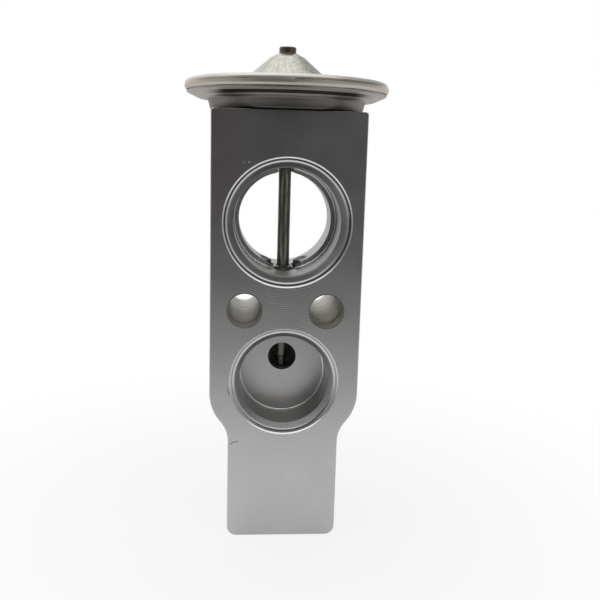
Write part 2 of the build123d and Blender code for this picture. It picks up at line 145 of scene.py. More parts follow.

# Block: painted highlights and a painted dark reflection line round a port's lip, stronger on the
# upper port and on the lower lip's lowest stretch
LIP_OUTER_HIGHLIGHT = (0.02, 0.10, 0.24, 0.34)
LIP_REFLECTION_LINE = (0.34, 0.42, 0.58, 0.66)
LIP_INNER_RISE = (0.68, 0.76)
LIP_INNER_END_FULL = (0.84, 0.88)
LIP_INNER_END = (0.90, 0.98)
LIP_OUTER_STRENGTH = (0.2, 0.9)
LIP_INNER_STRENGTH = (0.6, 0.9)
LIP_REFLECTION_STRENGTH = (0.1, 0.55)

# Block: lines of the face mill that cut both faces, of the ports' turning tool and of the bar
CUTTER_R = 22.5
CUTTER_FEED = 0.36
RETURN_FEED = CUTTER_FEED * 1.07
GOING_SHARE = 0.75
RETURN_SHARE = 0.3
MILLED_PATCHES = (0.4, 1.6)
MILLED_LOW_Z = (12.0, 27.0)
MILLED_LOW_STRENGTH = 0.12
MILLED_TOP_Z = (78.0, 62.0)
MILLED_TOP_STRENGTH = 0.45
TURNING_FEED = 0.55
TURNING_PATCHES = (-0.4, 1.6)
ARC_HEIGHT = 0.004
GRAIN_HEIGHT = 0.006
TURNING_HEIGHT = 0.004
BEVEL_DROP = (0.03, 0.08)
SCRATCH_DROP = 0.02

# Block: tone, from dull to bright, and roughness, with what each pattern or place adds
BAR_TONE = 0.41
CLOUD_TONE = 0.16
FINE_TONE = 0.06
ARC_TONE = 0.32
GRAIN_TONE = (-0.075, 0.075)
TURNING_TONE = 0.22
BAR_ROUGHNESS = 0.27
CLOUD_ROUGHNESS = 0.06
FINE_ROUGHNESS = 0.04
PORT_ROUGHNESS = 0.10
PORT_FLOOR_ROUGHNESS = -0.04
LIP_ROUGHNESS = (-0.14, -0.20)
BOLT_ROUGHNESS = 0.18
BRIGHT_MARK_ROUGHNESS = 0.3

# Block: paints. A paint laid over another one has its strength before its colour.
BAR_DULL = grey(0.30)
BAR_BRIGHT = colour(0.98, 0.965, 0.955)
# Painted dark reflection on the ports' seat cones, stronger on the upper port and weaker at the
# ports' sides
SEAT_CONE_REFLECTION = colour(0.165, 0.17, 0.165)
SEAT_CONE_STRENGTH = 0.62
SEAT_CONE_UPPER = 0.26
SEAT_CONE_SIDES = -0.34
BORE_WALL = (0.6, colour(0.42, 0.42, 0.405))
# Painted shade on the bottom of the liquid port's bore wall
LOW_WALL_SHADE = (0.32, colour(0.15, 0.145, 0.14))
# Painted shade on the suction port's bore wall beside its seat, at the port's sides
SEAT_SIDE_SHADE = (0.5, colour(0.20, 0.205, 0.195))
# Painted highlight on the rounded edge round each port's floor
FLOOR_EDGE_HIGHLIGHT = (0.85, colour(0.97, 0.97, 0.95))
PORT_FLOOR = (0.7, colour(0.71, 0.71, 0.705))
FLOOR_CLOUD = (0.3, colour(0.56, 0.515, 0.49))
# Painted highlight for the bright lines round the lips
LIP_HIGHLIGHT = colour(0.97, 0.97, 0.96)
# Painted dark reflection for the dark line on the lips
LIP_DARK_REFLECTION = grey(0.14)
# Painted shade in the pocket round the rod's seal
POCKET_SHADE = (0.5, grey(0.13))
# Painted shading for the warm patch on the front face's upper left
FACE_PATCH_SHADING = (0.6, colour(0.70, 0.60, 0.575))
DRILLED_STRENGTH = 0.9
DRILLED_BANDS = (-0.6, 1.6)
DRILLED_DARK = colour(0.44, 0.42, 0.375)
DRILLED_LIGHT = colour(0.76, 0.74, 0.69)
# Painted shadow: a dark narrow ring round each bolt hole's edge on the faces
BOLT_EDGE_SHADOW = (0.8, grey(0.06))
MARK_DARK = (0.85, grey(0.07))
MARK_BRIGHT = (0.6, grey(1.0))

# Marks on the front face: scratches from end to end with their width, and specks, as (x, z)
SCRATCHES = (
    ((-11.32, 31.95), (-11.22, 31.22), 0.11),
    ((-11.22, 31.22), (-10.98, 30.50), 0.11),
    ((-10.73, 20.08), (-10.22, 20.49), 0.11),
    ((-10.22, 20.49), (-9.11, 20.72), 0.11),
)
SCRATCH_CORE = 0.3
DARK_SPECKS = ((-2.11, 13.80), (-0.92, 13.42), (-0.08, 12.67), (0.89, 12.02), (-6.70, 9.17))
DARK_SPECK_R = 0.19
DARK_SPECK_STRENGTH = 0.35
BRIGHT_SPECKS = ((-8.55, 76.76), (-7.64, 76.85))
BRIGHT_SPECK_R = 0.2
SPECK_CORE = 0.4

# Head: places and lines that its finish follows
NECK_TOP_Z = (89.20, 89.10)
NECK_FOOT_Z = (88.2, 87.2)
RIM_SHADE_Z = (89.46, 89.52, 90.02, 90.08)
RIM_SHADE_X = (17.0, 12.0)
RIM_SEAM_Z = (90.58, 90.66, 90.82, 90.90)
# The seam's own dark line, deepened by painted shade over the block's corners
RIM_SEAM_STRENGTH = (0.45, 0.95)
RIM_CORNER_X = 12.0
RIM_CORNER_BESIDE = (3.2, 1.2)
RIM_WALL_Z = (91.95, 91.75)
RIM_END_X = (12.5, 18.5)
RIM_LINE_Z = (91.84, 91.92, 92.28, 92.36)
RIM_LINE_X = (14.0, 8.0)
RIM_ROUNDING_Z = (92.32, 92.46)
CONE_R = (9.5, 8.0)

# Head: paints, written as the block's are
DISH_STREAKS = (-0.6, 1.0)
DISH_DARK = colour(0.40, 0.37, 0.34)
DISH_LIGHT = colour(0.70, 0.65, 0.595)
NECK_DARK = colour(0.16, 0.15, 0.14)
NECK_LIGHT = colour(0.25, 0.23, 0.21)
# Painted shade at the neck's foot, just above the block
NECK_FOOT_SHADE = (0.6, grey(0.05))
SHADE_DARK = (0.96, grey(0.018))
SEAM_DARK = (FULLY, colour(0.10, 0.095, 0.075))
COVER_LINES = (-0.7, 1.1)
COVER_DARK = colour(0.38, 0.345, 0.30)
COVER_LIGHT = colour(0.70, 0.655, 0.585)
CONE_GRAIN = (-1.32, 1.08)
CONE_STREAKS = 1.2
CONE_DARK = colour(0.36, 0.35, 0.30)
CONE_LIGHT = colour(0.70, 0.70, 0.64)
RIM_WALL = (0.5, colour(0.82, 0.775, 0.715))
# Painted shade on the rim wall's ends, left and right
RIM_END_SHADE = (0.55, colour(0.60, 0.53, 0.43))
# Painted highlight on the rim's rounded top edge
RIM_ROUNDING_HIGHLIGHT = (0.5, colour(0.86, 0.84, 0.79))
# Painted dark reflection: a dark line across the middle of the rim's front and back
RIM_DARK_REFLECTION = (0.6, colour(0.12, 0.115, 0.105))
HEAD_CLOUD_TONE = 0.3

# Head: roughness, and how high its lines and grain stand
DISH_ROUGHNESS = (0.46, 0.56)
NECK_ROUGHNESS = -0.08
DISH_STREAK_HEIGHT = 0.003
DISH_CLOUD_HEIGHT = 0.01
COVER_ROUGHNESS = (0.13, 0.21)
RIM_WALL_ROUGHNESS = 0.24
COVER_GRAIN_ROUGHNESS = 0.05
COVER_GRAIN_HEIGHT = 0.003
CONE_GRAIN_HEIGHT = 0.015
RIM_WALL_HEIGHT = 0.008

# Rod, with a darker pin below its shoulder
PIN_Z = (46.0, 44.0)
PIN_DARK = (0.6, grey(0.10))
ROD_CLOUD = (-0.4, 1.4)
ROD_LINE_ROUGHNESS = 0.1
ROD_LINE_HEIGHT = 0.003

# Other pieces: how far their roughness varies either way, and how high their grain stands
TURNED_SPREAD = 0.06
TURNED_HEIGHT = 0.002
PLAIN_SPREAD = 0.05
PLAIN_HEIGHT = 0.002
RUBBER_HEIGHT = 0.004
POLISHED_HEIGHT = 0.0002

# Toothed washer round the rod. Its sector's columns stand at these angles, in degrees.
WASHER_TEETH = 10
WASHER_BASE_Z = 53.75
WASHER_SHEET = 0.4
WASHER_DISH = 1.05
WASHER_DISH_R = 3.1
WASHER_DISH_RUN = 1.2
WASHER_TIP_BEND = 0.25
WASHER_HOLE_R = 1.6
WASHER_ROOT_R = 3.37
WASHER_TIP_R = 4.37
WASHER_TOOTH_ANGLE = 9.9
WASHER_LEFT_ANGLES = (-180 / WASHER_TEETH, -14.0, -10.6, -WASHER_TOOTH_ANGLE, -5.0, 0.0)
WASHER_RING_RADII = (WASHER_HOLE_R, 1.85, 2.15, 2.5, 2.85, WASHER_DISH_R, WASHER_ROOT_R)
WASHER_TOOTH_RADII = (3.7, 4.1, WASHER_TIP_R)
WASHER_MERGE = 0.002
WASHER_SHARP_ANGLE = 35

# How near the copies' corners are joined
COPY_MERGE = 0.001


class Value:
    """One output of a node tree; arithmetic on it adds Math nodes."""

    def __init__(self, finish, socket):
        self.finish = finish
        self.socket = socket

    def __add__(self, other):
        return self.finish.maths("ADD", self, other)

    def __sub__(self, other):
        return self.finish.maths("SUBTRACT", self, other)

    def __rsub__(self, other):
        return self.finish.maths("SUBTRACT", other, self)

    def __mul__(self, other):
        return self.finish.maths("MULTIPLY", self, other)

    def __truediv__(self, other):
        return self.finish.maths("DIVIDE", self, other)

    def __abs__(self):
        return self.finish.maths("ABSOLUTE", self)

    __radd__ = __add__
    __rmul__ = __mul__


class Finish:
    """A node tree with a few shorthands for its nodes."""

    def __init__(self, tree):
        self.tree = tree

    def node(self, kind, settings=(), values=()):
        """New node with its settings, and its sockets' values or links."""
        node = self.tree.nodes.new(kind)
        for name, value in dict(settings).items():
            setattr(node, name, value)
        for name, value in dict(values).items():
            self.join(value, node.inputs[name])
        return node

    def add(self, kind, settings=(), values=(), output=0):
        """One output of a new node."""
        return Value(self, self.node(kind, settings, values).outputs[output])

    def join(self, value, socket):
        """Links a node's output to the socket, or sets the socket to a plain value."""
        if isinstance(value, Value):
            self.tree.links.new(value.socket, socket)
        else:
            socket.default_value = value

    def maths(self, operation, *values):
        return self.add("ShaderNodeMath", {"operation": operation}, dict(enumerate(values)))

    def place(self):
        """Object coordinates in millimetres."""
        point = self.add("ShaderNodeTexCoord", output="Object")
        values = {0: point, "Scale": 1 / MM}
        return self.add("ShaderNodeVectorMath", {"operation": "SCALE"}, values)

    def parts(self, vector):
        """The vector's three components."""
        node = self.node("ShaderNodeSeparateXYZ", (), {0: vector})
        return [Value(self, output) for output in node.outputs]

    def joined(self, x, y, z):
        """Vector with these components."""
        return self.add("ShaderNodeCombineXYZ", (), {0: x, 1: y, 2: z})

    def noise(self, vector, scale, detail, roughness=0.5):
        values = {"Vector": vector, "Scale": scale, "Detail": detail, "Roughness": roughness}
        return self.add("ShaderNodeTexNoise", (), values)

    def grain(self, coordinates, per_mm, detail):
        """Noise that has its own number of waves per millimetre along each coordinate."""
        stretched = [value * waves for value, waves in zip(coordinates, per_mm)]
        return self.noise(self.joined(*stretched), 1.0, detail)

    def step(self, value, low, high):
        """Smooth step from 0 at low to 1 at high."""
        settings = {"interpolation_type": "SMOOTHSTEP"}
        values = {"Value": value, "From Min": low, "From Max": high}
        return self.add("ShaderNodeMapRange", settings, values)

    def line(self, value, start, full, end_full, end):
        """1 between full and end_full, falling smoothly to 0 at start and end."""
        return self.step(value, start, full) * self.step(value, end, end_full)

    def between(self, mask, first, second):
        """Number that goes from first to second with the mask."""
        return first + (second - first) * mask

    def blend(self, mask, first, second):
        """Colour that goes from first to second with the mask."""
        values = {0: mask, 6: first, 7: second}
        return self.add("ShaderNodeMix", {"data_type": "RGBA"}, values, 2)

    def layered(self, base, *layers):
        """Colour with each layer's paint laid over it, by the layer's mask and strength."""
        for mask, strength, paint in layers:
            base = self.blend(mask * strength, base, paint)
        return base

    def bump(self, height):
        """Normal of a surface that stands the height, in millimetres, proud."""
        values = {"Height": height, "Distance": MM, "Strength": 1.0}
        return self.add("ShaderNodeBump", (), values)


def material(name, **constants):
    """New material with its shader's constant sockets set, its Finish and its shader."""
    made = bpy.data.materials.new(name)
    made.use_nodes = True
    shader = made.node_tree.nodes["Principled BSDF"]
    for key, value in constants.items():
        shader.inputs[key].default_value = value
    return made, Finish(made.node_tree), shader


def wear(finish, shader, paint, roughness, height):
    """Joins a finish's colour, roughness and relief to its shader."""
    finish.join(paint, shader.inputs["Base Color"])
    finish.join(roughness, shader.inputs["Roughness"])
    finish.join(finish.bump(height), shader.inputs["Normal"])


def new_object(name, data):
    """Object in the scene that holds the data."""
    made = bpy.data.objects.new(name, data)
    bpy.context.scene.collection.objects.link(made)
    return made


def radius_from(finish, first, second, centre=(0.0, 0.0)):
    """Distance from an axis, from the two coordinates across it."""
    a = first - centre[0]
    b = second - centre[1]
    return finish.maths("SQRT", a * a + b * b)


def strongest(finish, masks):
    """Mask that is as strong as the strongest of the masks."""
    whole, *others = masks
    for mask in others:
        whole = finish.maths("MAXIMUM", whole, mask)
    return whole


def milled_lines(finish, x, z):
    """Arcs that the face mill leaves, stronger the way it goes than on its return."""
    across = finish.maths("SQRT", finish.maths("MAXIMUM", CUTTER_R * CUTTER_R - x * x, 1.0))
    going = finish.maths("SINE", (z - across) * (FULL_TURN / CUTTER_FEED))
    returning = finish.maths("SINE", (z + across) * (FULL_TURN / RETURN_FEED))
    patches = finish.grain((x, 0.0, z), per_mm=(0.5, 0.0, 2.2), detail=2.0)
    top = finish.between(finish.step(z, *MILLED_TOP_Z), MILLED_TOP_STRENGTH, 1.0)
    kept = finish.between(finish.step(z, *MILLED_LOW_Z) * top, MILLED_LOW_STRENGTH, 1.0)
    arcs = going * GOING_SHARE + returning * RETURN_SHARE
    return arcs * finish.between(patches, *MILLED_PATCHES) * kept


def near_speck(finish, x, z, speck, size):
    """1 within a small round mark on the face, 0 outside it."""
    return finish.step(radius_from(finish, x, z, speck), size, size * SPECK_CORE)


def near_scratch(finish, x, z, start, end, width):
    """1 along a straight scratch on the face, 0 beside it."""
    run_x = end[0] - start[0]
    run_z = end[1] - start[1]
    length = math.hypot(run_x, run_z)
    along = ((x - start[0]) * run_x + (z - start[1]) * run_z) / length
    beside = abs(((x - start[0]) * run_z - (z - start[1]) * run_x) / length)
    inside = finish.step(along, -width, 0.0) * finish.step(along, length + width, length)
    return finish.step(beside, width, width * SCRATCH_CORE) * inside


def face_marks(finish, x, z, front):
    """Dark and bright marks that the photographed block has on its front face."""
    dark = [near_scratch(finish, x, z, *scratch) for scratch in SCRATCHES]
    for speck in DARK_SPECKS:
        dark.append(near_speck(finish, x, z, speck, DARK_SPECK_R) * DARK_SPECK_STRENGTH)
    bright = [near_speck(finish, x, z, speck, BRIGHT_SPECK_R) for speck in BRIGHT_SPECKS]
    return strongest(finish, dark) * front, strongest(finish, bright) * front


class BlockPlaces:
    """Coordinates on the block, and masks that are 1 on a place of it and 0 elsewhere."""

    def __init__(self, finish):
        self.point = finish.place()
        self.x, self.y, self.z = finish.parts(self.point)
        normal = finish.add("ShaderNodeNewGeometry", output="Normal")
        self.facing = finish.step(abs(finish.parts(normal)[1]), *FACE_NORMAL)
        self.upper = finish.step(self.z, *UPPER_PORT_Z)
        self.lowest = finish.step(self.z, *LIP_LOWEST_Z)
        self.mark_ports(finish)
        self.mark_holes(finish)
        self.milled = self.facing * (1 - self.port)
        self.front = self.milled * finish.step(self.y, *FRONT_Y)

    def mark_ports(self, finish):
        """Lip, seat cone, bore wall and floor of the ports on both faces."""
        suction_r = radius_from(finish, self.x, self.z, (0.0, SUCTION_Z))
        liquid_r = radius_from(finish, self.x, self.z, (0.0, LIQUID_Z))
        depth = finish.maths("MAXIMUM", SUCTION_LIP_R - suction_r, LIQUID_LIP_R - liquid_r)
        inside = 1 - self.facing
        self.depth = depth
        self.port = finish.step(depth, *PORT_DEPTH)
        self.lip = self.port * finish.step(depth, *LIP_DEPTH)
        self.wall = self.port * finish.step(depth, *WALL_DEPTH) * inside
        self.cone = self.port * finish.step(depth, *CONE_DEPTH) * inside * (1 - self.wall)
        self.port_floor = finish.step(depth, *FLOOR_DEPTH) * self.facing
        self.sides = finish.step(abs(self.x), *PORT_SIDE_X)
        suction_edge = abs(suction_r - (SUCTION_BORE_R - FLOOR_EDGE_INSET))
        liquid_edge = abs(liquid_r - (LIQUID_BORE_R - FLOOR_EDGE_INSET))
        nearest = finish.maths("MINIMUM", suction_edge, liquid_edge)
        self.floor_edge = finish.step(nearest, *FLOOR_EDGE_BESIDE)

    def mark_holes(self, finish):
        """Bolt holes, and the pocket of the rod's seal below the suction passage."""
        self.bolt_r = radius_from(finish, abs(self.x), self.z, (BOLT_X, BOLT_Z))
        self.bolt = finish.step(self.bolt_r, *BOLT_WALL_R)
        self.bolt_edge = finish.step(self.bolt_r, *BOLT_EDGE_R) * self.facing * (1 - self.bolt)
        round_stem = finish.step(radius_from(finish, self.x, self.y), *POCKET_R)
        below_top = finish.step(self.z, *POCKET_TOP_Z)
        self.pocket = round_stem * below_top * finish.step(self.z, *POCKET_FLOOR_Z)


def port_paints(finish, on, cloud):
    """Layers of paint on the ports' cones, walls and floors, with a painted dark reflection on the
    cones, painted shade on parts of the walls and a painted highlight round the floors.
    """
    cone_reflection_strength = SEAT_CONE_STRENGTH + SEAT_CONE_UPPER * on.upper + SEAT_CONE_SIDES * on.sides
    low_wall_shade = on.wall * (1 - on.upper) * finish.step(on.z, *LOW_WALL_Z)
    seat_side_shade = finish.step(on.depth, *SEAT_SIDE_DEPTH) * on.wall * on.upper * on.sides
    leaning = on.z + CLOUDED_FLOOR_LEAN * abs(on.x - CLOUDED_FLOOR_X)
    clouded = on.port_floor * finish.step(leaning, *CLOUDED_FLOOR_Z) * cloud
    return (
        # Painted dark reflection on the seat cones
        (on.cone, cone_reflection_strength, SEAT_CONE_REFLECTION),
        (on.wall, *BORE_WALL),
        # Painted shade on the bottom of the liquid port's bore wall
        (low_wall_shade, *LOW_WALL_SHADE),
        # Painted shade on the upper port's wall beside its seat, at its sides
        (seat_side_shade, *SEAT_SIDE_SHADE),
        # Painted highlight on the rounded edge of each port's floor
        (on.floor_edge * (1 - on.facing), *FLOOR_EDGE_HIGHLIGHT),
        (on.port_floor, *PORT_FLOOR),
        (clouded, *FLOOR_CLOUD),
    )


def lip_paints(finish, on):
    """Layers of painted highlights and a painted dark reflection line round the ports' lips,
    strongest on the upper port and on the lower lip's lowest stretch.
    """
    strong_stretch = finish.maths("MAXIMUM", on.upper, on.lowest)
    outer_highlight = finish.line(on.depth, *LIP_OUTER_HIGHLIGHT)
    end_full = finish.between(strong_stretch, *LIP_INNER_END_FULL)
    inner_end = finish.between(strong_stretch, *LIP_INNER_END)
    inner_highlight = finish.line(on.depth, *LIP_INNER_RISE, end_full, inner_end)
    dark_reflection_line = finish.line(on.depth, *LIP_REFLECTION_LINE)
    return (
        # Two painted highlights, then a painted dark reflection line
        (outer_highlight, finish.between(strong_stretch, *LIP_OUTER_STRENGTH), LIP_HIGHLIGHT),
        (inner_highlight, finish.between(strong_stretch, *LIP_INNER_STRENGTH), LIP_HIGHLIGHT),
        (dark_reflection_line, finish.between(strong_stretch, *LIP_REFLECTION_STRENGTH), LIP_DARK_REFLECTION),
    )


def block_aluminium():
    """Milled bar: cutter arcs on the faces, turned rings in the ports, drawn lines on the sides."""
    made, finish, shader = material("block_aluminium", Metallic=1.0)
    on = BlockPlaces(finish)
    x, y, z = on.x, on.y, on.z
    arcs = milled_lines(finish, x, z) * on.milled
    rings = finish.grain((y, on.depth * on.port, 0.0), per_mm=(5.0, 5.0, 0.0), detail=2.0)
    drawn = finish.grain((x, y, z), per_mm=(5.0, 0.08, 5.0), detail=4.0)
    grain = rings * on.port + drawn * (1 - on.port)
    turning = finish.maths("SINE", y * (FULL_TURN / TURNING_FEED))
    turning = turning * finish.between(rings, *TURNING_PATCHES) * on.wall
    cloud = finish.noise(on.point, scale=0.12, detail=3.0)
    fine = finish.noise(on.point, scale=3.5, detail=2.0)
    bands = finish.grain((y, on.bolt_r, 0.0), per_mm=(0.9, 1.5, 0.0), detail=3.0)
    drilled = finish.blend(finish.between(bands, *DRILLED_BANDS), DRILLED_DARK, DRILLED_LIGHT)
    # Painted shading: a warm patch on the upper left of the front face
    shading_patch = finish.step(x, *SHADING_PATCH_X) * finish.step(z, *SHADING_PATCH_Z) * on.front
    dark, bright = face_marks(finish, x, z, on.front)

    tone = BAR_TONE + CLOUD_TONE * cloud + FINE_TONE * fine + ARC_TONE * arcs
    lines = finish.between(grain, *GRAIN_TONE) + TURNING_TONE * turning
    paint = finish.layered(
        finish.blend(tone + lines * (1 - on.milled), BAR_DULL, BAR_BRIGHT),
        *port_paints(finish, on, cloud),
        *lip_paints(finish, on),
        # Painted shade in the rod seal's pocket
        (on.pocket, *POCKET_SHADE),
        # Painted shading on the front face's upper left
        (shading_patch, *FACE_PATCH_SHADING),
        (on.bolt, DRILLED_STRENGTH, drilled),
        # Painted shadow round the bolt holes' edges
        (on.bolt_edge, *BOLT_EDGE_SHADOW),
        (dark, *MARK_DARK),
        (bright, *MARK_BRIGHT),
    )

    roughness = BAR_ROUGHNESS + CLOUD_ROUGHNESS * cloud + FINE_ROUGHNESS * fine
    roughness = roughness + PORT_ROUGHNESS * on.port + PORT_FLOOR_ROUGHNESS * on.port_floor
    roughness = roughness + finish.between(on.lowest, *LIP_ROUGHNESS) * (on.lip + on.floor_edge)
    roughness = roughness + BOLT_ROUGHNESS * on.bolt + BRIGHT_MARK_ROUGHNESS * bright

    bevel = finish.step(on.depth, *BEVEL_DEPTH) * on.port * (1 - on.upper)
    grooves = (grain * GRAIN_HEIGHT + turning * TURNING_HEIGHT) * (1 - on.milled) * (1 - on.lip)
    drop = bevel * finish.between(on.lowest, *BEVEL_DROP) + dark * SCRATCH_DROP
    wear(finish, shader, paint, roughness, arcs * ARC_HEIGHT + grooves - drop)
    return made


def rim_seam(finish, x, z):
    """Strength of the dark line where cover and dish meet: a real dark joint, made darkest over the
    block's corners by painted shade.
    """
    corners = finish.step(abs(abs(x) - RIM_CORNER_X), *RIM_CORNER_BESIDE)
    return finish.line(z, *RIM_SEAM_Z) * finish.between(corners, *RIM_SEAM_STRENGTH)


def housing_steel():
    """Pressed lower dish: dull neck with painted shade at its foot, a band of painted shade under
    the rim and a fine drawn grain.
    """
    made, finish, shader = material("housing_steel", Metallic=1.0)
    point = finish.place()
    x, y, z = finish.parts(point)
    radius = radius_from(finish, x, y)
    cloud = finish.noise(point, scale=0.35, detail=3.0)
    streaks = finish.grain((radius, 0.0, z), per_mm=(3.0, 0.0, 6.0), detail=3.0)
    neck = finish.step(z, *NECK_TOP_Z)
    shade = finish.line(z, *RIM_SHADE_Z) * finish.step(abs(x), *RIM_SHADE_X)
    tone = finish.between(streaks, *DISH_STREAKS) + HEAD_CLOUD_TONE * cloud
    paint = finish.layered(
        finish.blend(tone, DISH_DARK, DISH_LIGHT),
        (neck, FULLY, finish.blend(cloud, NECK_DARK, NECK_LIGHT)),
        # Painted shade at the neck's foot
        (finish.step(z, *NECK_FOOT_Z), *NECK_FOOT_SHADE),
        (shade, *SHADE_DARK),
        (rim_seam(finish, x, z), *SEAM_DARK),
    )
    roughness = finish.between(cloud, *DISH_ROUGHNESS) + NECK_ROUGHNESS * neck
    height = streaks * DISH_STREAK_HEIGHT + cloud * DISH_CLOUD_HEIGHT
    wear(finish, shader, paint, roughness, height)
    return made


def cover_steel():
    """Pressed upper cover: rough rim wall with fine lines and painted shade on its ends, a painted
    dark reflection line, smooth rounding with a painted highlight, grainy bright cone.
    """
    made, finish, shader = material("cover_steel", Metallic=1.0)
    point = finish.place()
    x, y, z = finish.parts(point)
    radius = radius_from(finish, x, y)
    side = abs(x)
    lines = finish.grain((radius, 0.0, z), per_mm=(4.0, 0.0, 9.0), detail=3.0)
    streaks = finish.grain((x, y, z), per_mm=(1.6, 1.6, 0.45), detail=2.0)
    grain = finish.noise(point, scale=5.0, detail=4.0, roughness=0.65)
    cloud = finish.noise(point, scale=0.3, detail=3.0)
    wall = finish.step(z, *RIM_WALL_Z)
    cone = finish.step(radius, *CONE_R)
    dark_reflection_line = finish.line(z, *RIM_LINE_Z) * finish.step(side, *RIM_LINE_X)
    tone = finish.between(lines, *COVER_LINES) + HEAD_CLOUD_TONE * cloud
    cone_tone = finish.between(grain, *CONE_GRAIN) + CONE_STREAKS * streaks
    paint = finish.layered(
        finish.blend(tone, COVER_DARK, COVER_LIGHT),
        (wall, *RIM_WALL),
        # Painted shade on the rim's ends
        (finish.step(side, *RIM_END_X) * wall, *RIM_END_SHADE),
        # Painted highlight on the rim's rounding
        (finish.step(z, *RIM_ROUNDING_Z), *RIM_ROUNDING_HIGHLIGHT),
        # Painted dark reflection across the rim's middle
        (dark_reflection_line, *RIM_DARK_REFLECTION),
        (rim_seam(finish, x, z), *SEAM_DARK),
        (cone, FULLY, finish.blend(cone_tone, CONE_DARK, CONE_LIGHT)),
    )
    roughness = finish.between(cloud, *COVER_ROUGHNESS) + COVER_GRAIN_ROUGHNESS * grain
    grain_height = finish.between(cone, COVER_GRAIN_HEIGHT, CONE_GRAIN_HEIGHT)
    height = lines * wall * RIM_WALL_HEIGHT + grain * grain_height
    wear(finish, shader, paint, roughness + RIM_WALL_ROUGHNESS * wall, height)
    return made


def turned_steel(name, low, high, roughness):
    """Steel with fine rings round Z."""
    made, finish, shader = material(name, Metallic=1.0)
    point = finish.place()
    x, y, z = finish.parts(point)
    radius = radius_from(finish, x, y)
    rings = finish.grain((radius, z, 0.0), per_mm=(4.0, 4.0, 0.0), detail=4.0)
    tone = (rings + finish.noise(point, scale=0.25, detail=3.0)) / 2
    varied = finish.between(tone, roughness - TURNED_SPREAD, roughness + TURNED_SPREAD)
    wear(finish, shader, finish.blend(tone, low, high), varied, rings * TURNED_HEIGHT)
    return made


def ground_steel(name, low, high, roughness):
    """Ground rod steel with fine lines along Z and a darker pin."""
    made, finish, shader = material(name, Metallic=1.0)
    x, y, z = finish.parts(finish.place())
    lines = finish.grain((x, y, z), per_mm=(6.0, 6.0, 0.25), detail=3.0)
    cloud = finish.grain((x, y, z), per_mm=(2.0, 2.0, 0.3), detail=2.0)
    paint = finish.layered(
        finish.blend(finish.between(cloud, *ROD_CLOUD), low, high),
        (finish.step(z, *PIN_Z), *PIN_DARK),
    )
    varied = roughness + ROD_LINE_ROUGHNESS * lines
    wear(finish, shader, paint, varied, lines * ROD_LINE_HEIGHT)
    return made


def plain_finish(name, low, high, metallic, roughness, height=PLAIN_HEIGHT):
    """Cloudy tone with a fine grain, for rubber, plastic and small metal parts."""
    made, finish, shader = material(name, Metallic=metallic)
    point = finish.place()
    cloud = finish.noise(point, scale=0.9, detail=3.0)
    fine = finish.noise(point, scale=9.0, detail=2.0)
    varied = finish.between(fine, roughness - PLAIN_SPREAD, roughness + PLAIN_SPREAD)
    wear(finish, shader, finish.blend(cloud, low, high), varied, fine * height)
    return made


def dress_nodes():
    """Gives every carried-over node its finish."""
    brass = plain_finish(
        "turned_brass", colour(0.50, 0.38, 0.17), colour(0.62, 0.48, 0.23),
        metallic=1.0, roughness=0.30)
    rubber = plain_finish(
        "seal_rubber", grey(0.012), grey(0.025),
        metallic=0.0, roughness=0.55, height=RUBBER_HEIGHT)
    spring = plain_finish(
        "spring_steel", grey(0.30), grey(0.42), metallic=1.0, roughness=0.28)
    finishes = {
        "valve_body": block_aluminium(),
        "actuating_rod": ground_steel(
            "rod_steel", colour(0.26, 0.245, 0.215), colour(0.60, 0.575, 0.51), roughness=0.26),
        "rod_seal": rubber,
        "head_seal": rubber,
        "adjusting_screw_seal": rubber,
        "backup_ring": plain_finish(
            "backup_plastic", grey(0.62), grey(0.70), metallic=0.0, roughness=0.45),
        "seal_retainer": plain_finish(
            "retainer_steel", grey(0.09), grey(0.16), metallic=1.0, roughness=0.35),
        "valve_ball": plain_finish(
            "ball_steel", grey(0.60), grey(0.66),
            metallic=1.0, roughness=0.08, height=POLISHED_HEIGHT),
        "ball_carrier": brass,
        "diaphragm_stopper": brass,
        "adjusting_screw": brass,
        "damper_ring": spring,
        "superheat_spring": spring,
        "threaded_collar": turned_steel("collar_steel", grey(0.35), grey(0.45), roughness=0.3),
        "diaphragm": turned_steel("diaphragm_steel", grey(0.50), grey(0.58), roughness=0.2),
        "head_lower_housing": housing_steel(),
        "head_cover": cover_steel(),
        "charge_plug": plain_finish(
            "plug_steel", colour(0.10, 0.085, 0.065), colour(0.24, 0.21, 0.165),
            metallic=0.8, roughness=0.36),
    }
    for node, dress in finishes.items():
        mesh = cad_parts[node].data
        mesh.materials.clear()
        mesh.materials.append(dress)


def washer_height(radius):
    """Height of the washer's lower side: dished up round the rod, teeth bent up at the tip."""
    dished = min(max((WASHER_DISH_R - radius) / WASHER_DISH_RUN, 0.0), 1.0)
    bent = max(radius - WASHER_ROOT_R, 0.0) / (WASHER_TIP_R - WASHER_ROOT_R)
    rise = WASHER_DISH * dished * dished * (3 - 2 * dished)
    return WASHER_BASE_Z + rise + WASHER_TIP_BEND * bent * bent


